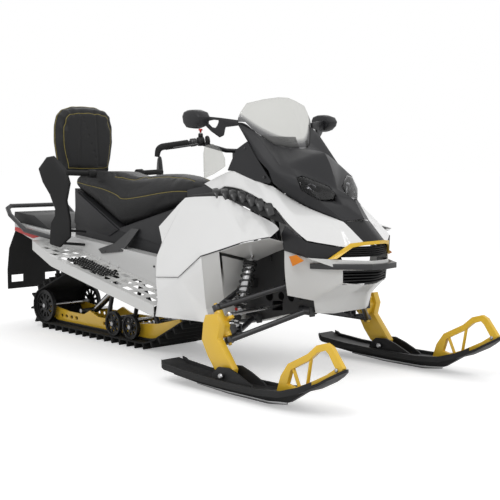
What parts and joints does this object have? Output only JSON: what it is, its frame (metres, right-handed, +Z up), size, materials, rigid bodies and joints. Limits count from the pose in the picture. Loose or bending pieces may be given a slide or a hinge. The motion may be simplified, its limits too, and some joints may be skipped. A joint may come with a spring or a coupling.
{
  "type": "two-up touring snowmobile",
  "caption": "Two-seat snowmobile with steerable skis on tilting saddles, a lugged track under a tunnel, a backrest, wind deflectors, mirrors and a tall windshield.",
  "frame": {"origin": "centre of the footprint, on the floor under the machine", "axes": "+X towards the ski tips, +Y to the rider's left, +Z up"},
  "size_m": [3.212, 1.232, 1.362],
  "materials": {
    "white_plastic": "gloss white moulded",
    "pale_grey_plastic": "pale grey moulded",
    "charcoal_plastic": "satin charcoal moulded",
    "black_plastic": "satin black moulded",
    "yellow_paint": "satin golden yellow",
    "yellow_plastic": "golden yellow moulded",
    "black_paint": "satin black",
    "tunnel_aluminium": "painted pale grey",
    "board_metal": "white and black",
    "steel": "machined",
    "rubber": "matte",
    "seat_vinyl": "grained vinyl",
    "clear_screen": "tinted clear",
    "lamp_glass": "smoked",
    "red_reflector": "moulded reflector",
    "orange_reflector": "moulded reflector",
    "engine_grey": "cast"
  },
  "bodies": {
    "chassis": {"track": "rubber", "idler_wheels": "black_plastic", "skid_axles": "steel", "drive_axle": "steel", "slide_rails": "yellow_paint", "rail_runners": "black_plastic", "skid_arms": "black_paint", "skid_shocks": "steel", "tunnel": "tunnel_aluminium", "running_boards": "board_metal", "front_frame": "engine_grey", "lower_arms": "black_paint", "upper_arms": "black_paint", "front_shocks": "steel", "shock_springs": "black_paint", "seat": "seat_vinyl", "seat_base": "charcoal_plastic", "backrest": "seat_vinyl", "backrest_frame": "black_paint", "passenger_deflectors": "charcoal_plastic", "deflector_brackets": "black_paint", "grab_bars": "rubber", "rear_bumper": "black_paint", "tail_lamp_housing": "black_plastic", "snow_flap": "rubber", "rear_reflectors": "red_reflector", "side_panels": "white_plastic", "upper_panels": "white_plastic", "louvres": "black_plastic", "lower_side_bands": "charcoal_plastic", "cowl": "charcoal_plastic", "nose_panel": "black_plastic", "windshield": "clear_screen", "dash_console": "charcoal_plastic", "headlights": "lamp_glass", "belly_pan": "pale_grey_plastic", "nose_accent": "yellow_plastic", "front_bumper": "black_paint", "engine_block": "engine_grey", "mirrors": "charcoal_plastic", "upper_frame": "black_paint", "seat_side_covers": "charcoal_plastic", "nose_grille": "black_plastic", "lower_grille": "black_plastic", "side_reflectors": "orange_reflector", "side_deflectors": "clear_screen"},
    "steering": {"handlebar": "black_paint", "grips": "rubber", "hand_controls": "black_plastic"},
    "spindle_right": {"spindle_right": "yellow_paint"},
    "spindle_left": {"spindle_left": "yellow_paint"},
    "tie_rod_right": {"tie_rod_right": "steel"},
    "tie_rod_left": {"tie_rod_left": "steel"},
    "ski_right": {"ski_right": "black_plastic", "ski_loop_right": "yellow_plastic", "ski_runner_right": "steel"},
    "ski_left": {"ski_left": "black_plastic", "ski_loop_left": "yellow_plastic", "ski_runner_left": "steel"}
  },
  "joints": [
    {"name": "steer", "type": "hinge", "parent": "chassis", "child": "steering", "pos_m": [0.4, 0, 1.06], "axis": [-0.4978, 0, 0.8673], "range_deg": [-30, 30]},
    {"name": "king_pin_right", "type": "hinge", "parent": "chassis", "child": "spindle_right", "pos_m": [0.838, -0.478, 0.222], "axis": [-0.51, 0, 0.8602], "range_deg": [-30, 30]},
    {"name": "tie_rod_eye_right", "type": "hinge", "parent": "spindle_right", "child": "tie_rod_right", "pos_m": [0.84613, -0.478, 0.33378], "axis": [-0.51, 0, 0.8602], "range_deg": [-30, 30]},
    {"name": "ski_tilt_right", "type": "hinge", "parent": "spindle_right", "child": "ski_right", "pos_m": [0.914, -0.54, 0.088], "axis": [0, 1, 0], "range_deg": [-20, 12]},
    {"name": "king_pin_left", "type": "hinge", "parent": "chassis", "child": "spindle_left", "pos_m": [0.838, 0.478, 0.222], "axis": [-0.51, 0, 0.8602], "range_deg": [-30, 30]},
    {"name": "tie_rod_eye_left", "type": "hinge", "parent": "spindle_left", "child": "tie_rod_left", "pos_m": [0.84613, 0.478, 0.33378], "axis": [-0.51, 0, 0.8602], "range_deg": [-30, 30]},
    {"name": "ski_tilt_left", "type": "hinge", "parent": "spindle_left", "child": "ski_left", "pos_m": [0.914, 0.54, 0.088], "axis": [0, 1, 0], "range_deg": [-20, 12]}
  ],
  "couplings": [
    {"joint": "king_pin_right", "follows": "steer", "ratio": 1},
    {"joint": "tie_rod_eye_right", "follows": "steer", "ratio": -1},
    {"joint": "king_pin_left", "follows": "steer", "ratio": 1},
    {"joint": "tie_rod_eye_left", "follows": "steer", "ratio": -1}
  ]
}
